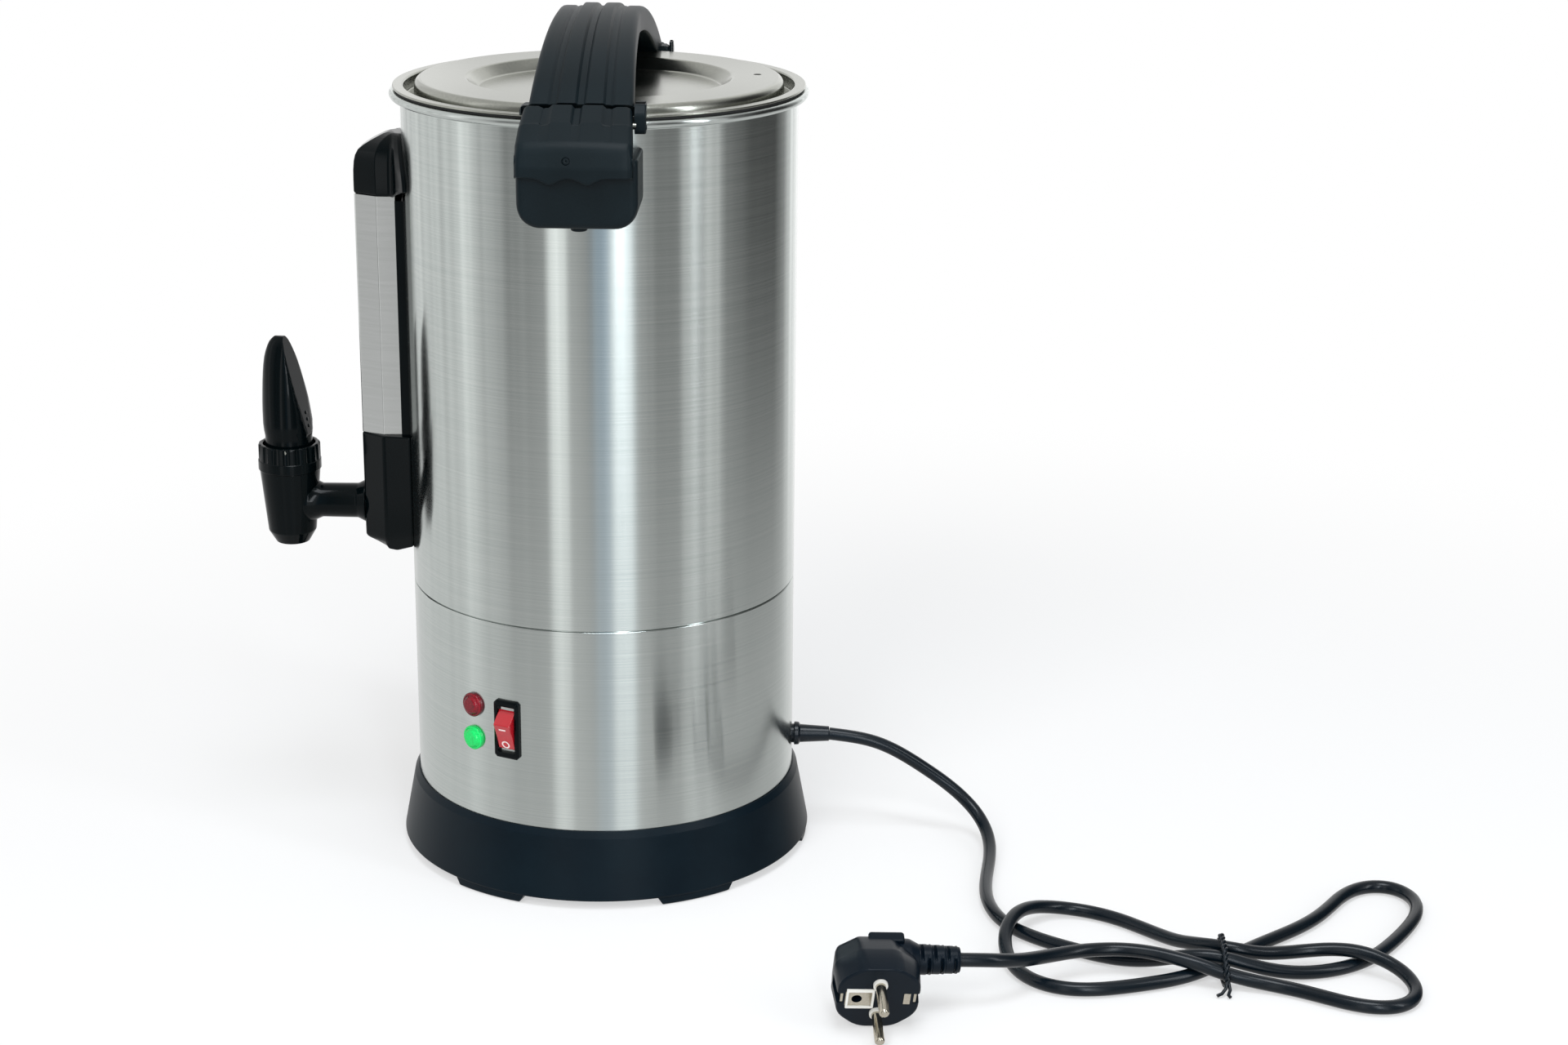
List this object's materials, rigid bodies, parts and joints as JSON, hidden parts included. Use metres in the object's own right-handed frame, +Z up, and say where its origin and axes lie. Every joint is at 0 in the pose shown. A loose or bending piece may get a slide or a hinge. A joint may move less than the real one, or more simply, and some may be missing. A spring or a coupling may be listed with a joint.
{
  "type": "mulled wine urn",
  "caption": "Electric mulled wine urn: steel drum on a black base, lidded with an arched handle, with side grips, sight gauge, lever tap, rocker switch and a plugged mains cord.",
  "frame": {"origin": "centre of the pot's axis on the surface that the feet stand on", "axes": "+Z up; the tap points to -Y; the ends of the lid handle point to -X and +X; the mains cord leaves at +Y"},
  "size_m": [0.3926, 0.6065, 0.443],
  "materials": {
    "brushed_steel": "satin",
    "lid_steel": "satin",
    "polished_cover": "polished",
    "plain_steel": "satin",
    "fastener_steel": "satin",
    "aluminium": "satin",
    "satin_black": "satin",
    "gloss_black": "gloss",
    "black_rubber": "matte",
    "clear_silicone": "matte",
    "white_plastic": "satin",
    "sight_glass": "clear",
    "red_lens": "gloss",
    "green_lens": "gloss",
    "red_rocker": "gloss",
    "wire_cover": "matte",
    "black_pvc": "satin",
    "nickel": "satin"
  },
  "bodies": {
    "pot": {"tank": "brushed_steel", "lower_housing": "brushed_steel", "base_ring": "satin_black", "bottom_plate": "plain_steel", "base_screws": "fastener_steel", "bracket_right": "satin_black", "bracket_left": "satin_black", "bracket_studs": "plain_steel", "gauge_backplate": "gloss_black", "gauge_cover": "polished_cover", "gauge_cap": "gloss_black", "gauge_shield": "gloss_black", "sight_glass": "sight_glass", "gauge_seals": "black_rubber", "tap_body": "gloss_black", "shank_nut": "fastener_steel", "shank_washers": "clear_silicone", "tap_collar": "gloss_black", "lever_pin": "fastener_steel", "spring_stop": "white_plastic", "tap_spring": "fastener_steel", "switch_body": "gloss_black", "lamp_red": "red_lens", "lamp_green": "green_lens", "heater_plate": "aluminium", "heater_tube": "plain_steel", "thermostats": "plain_steel", "thermal_fuse": "white_plastic", "terminal_block": "white_plastic", "inner_wires": "wire_cover", "cord_gland": "black_rubber", "cord": "black_pvc", "cord_hank": "black_pvc", "cord_tail": "black_pvc", "cord_tie": "black_pvc", "plug_body": "black_pvc", "plug_pins": "nickel", "plug_collars": "white_plastic", "plug_earth_clips": "nickel"},
    "lid": {"lid": "lid_steel", "lid_gasket": "black_rubber", "handle_grip": "satin_black", "handle_screws": "fastener_steel", "hinge_pins": "fastener_steel"},
    "latch_right": {"latch_right": "satin_black"},
    "latch_left": {"latch_left": "satin_black"},
    "tap_lever": {"tap_lever": "gloss_black"},
    "tap_valve": {"tap_stem": "white_plastic", "tap_seat": "clear_silicone"},
    "switch_rocker": {"switch_rocker": "red_rocker"}
  },
  "joints": [
    {"name": "lid_lift", "type": "slide", "parent": "pot", "child": "lid", "axis": [0, 0, 1], "range_m": [0, 0.15]},
    {"name": "latch_right_open", "type": "hinge", "parent": "lid", "child": "latch_right", "pos_m": [0.11, 0, 0.402], "axis": [0, -1, 0], "range_deg": [0, 15]},
    {"name": "latch_left_open", "type": "hinge", "parent": "lid", "child": "latch_left", "pos_m": [-0.11, 0, 0.402], "axis": [0, 1, 0], "range_deg": [0, 15]},
    {"name": "tap_lever_tilt", "type": "hinge", "parent": "pot", "child": "tap_lever", "pos_m": [0, -0.165, 0.212], "axis": [1, 0, 0], "range_deg": [0, 20], "stiffness_Nm_per_rad": 0.5, "springref_deg": -11.46},
    {"name": "tap_valve_lift", "type": "slide", "parent": "pot", "child": "tap_valve", "axis": [0, 0, 1], "range_m": [0, 0.0042], "deforming": ["tap_spring"]},
    {"name": "switch_rocker_tip", "type": "hinge", "parent": "pot", "child": "switch_rocker", "pos_m": [0.0861, -0.04015, 0.0906], "axis": [-0.4226, -0.9063, 0], "range_deg": [0, 40]}
  ],
  "couplings": [
    {"joint": "tap_valve_lift", "follows": "tap_lever_tilt", "m_per_rad": 0.01146}
  ]
}
